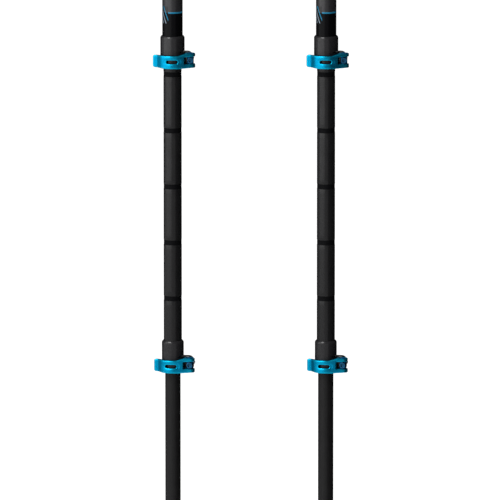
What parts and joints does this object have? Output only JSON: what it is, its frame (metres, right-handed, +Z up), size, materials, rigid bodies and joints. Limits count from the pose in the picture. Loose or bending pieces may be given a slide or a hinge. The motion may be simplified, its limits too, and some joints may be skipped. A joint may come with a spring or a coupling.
{
  "type": "trekking pole pair",
  "caption": "Pair of upright telescopic trekking poles with lever clamps, moulded grips, wrist straps, baskets and carbide tips.",
  "frame": {"origin": "on the ground midway between the two poles' carbide tips", "axes": "+Z up along both poles, +X from the left pole to the right pole, -Y the side that the clamps' levers cross"},
  "size_m": [0.2568, 0.052, 1.2],
  "materials": {
    "upper_tube": "satin",
    "mid_tube": "matte",
    "lower_tube": "matte",
    "clamp_plastic": "matte",
    "blue_anodised": "satin",
    "barrel_steel": "satin",
    "screw_steel": "satin",
    "pad_steel": "matte",
    "steel": "satin",
    "bush_plastic": "matte",
    "grip_rubber": "matte",
    "grip_cap": "satin",
    "foam": "matte",
    "webbing": "matte",
    "strap_lining": "matte",
    "blue_plastic": "satin",
    "tip_plastic": "matte",
    "carbide": "matte",
    "basket_plastic": "matte"
  },
  "bodies": {
    "left_upper": {"left_upper_tube": "upper_tube", "left_grip": "grip_rubber", "left_grip_cap": "grip_cap", "left_grip_sleeve": "foam", "left_strap": "webbing", "left_wrist_pad": "strap_lining", "left_strap_pin": "steel", "left_upper_collar": "clamp_plastic", "left_upper_barrel": "barrel_steel", "left_upper_nut": "steel", "left_upper_cam_pad": "pad_steel"},
    "left_mid": {"left_mid_tube": "mid_tube", "left_mid_bush": "bush_plastic", "left_lower_collar": "clamp_plastic", "left_lower_barrel": "barrel_steel", "left_lower_nut": "steel", "left_lower_cam_pad": "pad_steel"},
    "left_lower": {"left_lower_tube": "lower_tube", "left_lower_bush": "bush_plastic", "left_ferrule": "tip_plastic", "left_carbide_point": "carbide", "left_basket": "basket_plastic"},
    "left_wedge": {"left_strap_wedge": "blue_plastic"},
    "left_upper_lever": {"left_upper_lever": "blue_anodised"},
    "left_upper_screw": {"left_upper_tension_screw": "screw_steel"},
    "left_lower_lever": {"left_lower_lever": "blue_anodised"},
    "left_lower_screw": {"left_lower_tension_screw": "screw_steel"},
    "right_upper": {"right_upper_tube": "upper_tube", "right_grip": "grip_rubber", "right_grip_cap": "grip_cap", "right_grip_sleeve": "foam", "right_strap": "webbing", "right_wrist_pad": "strap_lining", "right_strap_pin": "steel", "right_upper_collar": "clamp_plastic", "right_upper_barrel": "barrel_steel", "right_upper_nut": "steel", "right_upper_cam_pad": "pad_steel"},
    "right_mid": {"right_mid_tube": "mid_tube", "right_mid_bush": "bush_plastic", "right_lower_collar": "clamp_plastic", "right_lower_barrel": "barrel_steel", "right_lower_nut": "steel", "right_lower_cam_pad": "pad_steel"},
    "right_lower": {"right_lower_tube": "lower_tube", "right_lower_bush": "bush_plastic", "right_ferrule": "tip_plastic", "right_carbide_point": "carbide", "right_basket": "basket_plastic"},
    "right_wedge": {"right_strap_wedge": "blue_plastic"},
    "right_upper_lever": {"right_upper_lever": "blue_anodised"},
    "right_upper_screw": {"right_upper_tension_screw": "screw_steel"},
    "right_lower_lever": {"right_lower_lever": "blue_anodised"},
    "right_lower_screw": {"right_lower_tension_screw": "screw_steel"}
  },
  "joints": [
    {"name": "right_pole_apart", "type": "slide", "parent": "left_upper", "child": "right_upper", "axis": [1, 0, 0], "range_m": [0, 0.3]},
    {"name": "left_mid_slide", "type": "slide", "parent": "left_upper", "child": "left_mid", "axis": [0, 0, 1], "range_m": [-0.1, 0.235]},
    {"name": "left_lower_slide", "type": "slide", "parent": "left_mid", "child": "left_lower", "axis": [0, 0, 1], "range_m": [-0.08, 0.27]},
    {"name": "left_wedge_slide", "type": "slide", "parent": "left_upper", "child": "left_wedge", "axis": [-1, 0, 0], "range_m": [0, 0.01]},
    {"name": "left_upper_lever_hinge", "type": "hinge", "parent": "left_upper", "child": "left_upper_lever", "pos_m": [-0.0518, -0.005, 0.6473], "axis": [0, 0, 1], "range_deg": [0, 150]},
    {"name": "left_upper_screw_turn", "type": "hinge", "parent": "left_upper", "child": "left_upper_screw", "pos_m": [-0.0518, 0, 0.6473], "axis": [0, 1, 0], "continuous": true},
    {"name": "left_lower_lever_hinge", "type": "hinge", "parent": "left_mid", "child": "left_lower_lever", "pos_m": [-0.05253, -0.00688, 0.3753], "axis": [0, 0, 1], "range_deg": [0, 150]},
    {"name": "left_lower_screw_turn", "type": "hinge", "parent": "left_mid", "child": "left_lower_screw", "pos_m": [-0.05192, -0.00191, 0.3753], "axis": [0.1219, 0.9925, 0], "continuous": true},
    {"name": "right_mid_slide", "type": "slide", "parent": "right_upper", "child": "right_mid", "axis": [0, 0, 1], "range_m": [-0.1, 0.235]},
    {"name": "right_lower_slide", "type": "slide", "parent": "right_mid", "child": "right_lower", "axis": [0, 0, 1], "range_m": [-0.08, 0.27]},
    {"name": "right_wedge_slide", "type": "slide", "parent": "right_upper", "child": "right_wedge", "axis": [1, 0, 0], "range_m": [0, 0.01]},
    {"name": "right_upper_lever_hinge", "type": "hinge", "parent": "right_upper", "child": "right_upper_lever", "pos_m": [0.0832, -0.005, 0.6473], "axis": [0, 0, 1], "range_deg": [0, 150]},
    {"name": "right_upper_screw_turn", "type": "hinge", "parent": "right_upper", "child": "right_upper_screw", "pos_m": [0.0832, 0, 0.6473], "axis": [0, 1, 0], "continuous": true},
    {"name": "right_lower_lever_hinge", "type": "hinge", "parent": "right_mid", "child": "right_lower_lever", "pos_m": [0.08247, -0.00688, 0.3753], "axis": [0, 0, 1], "range_deg": [0, 150]},
    {"name": "right_lower_screw_turn", "type": "hinge", "parent": "right_mid", "child": "right_lower_screw", "pos_m": [0.08308, -0.00191, 0.3753], "axis": [0.1219, 0.9925, 0], "continuous": true}
  ]
}
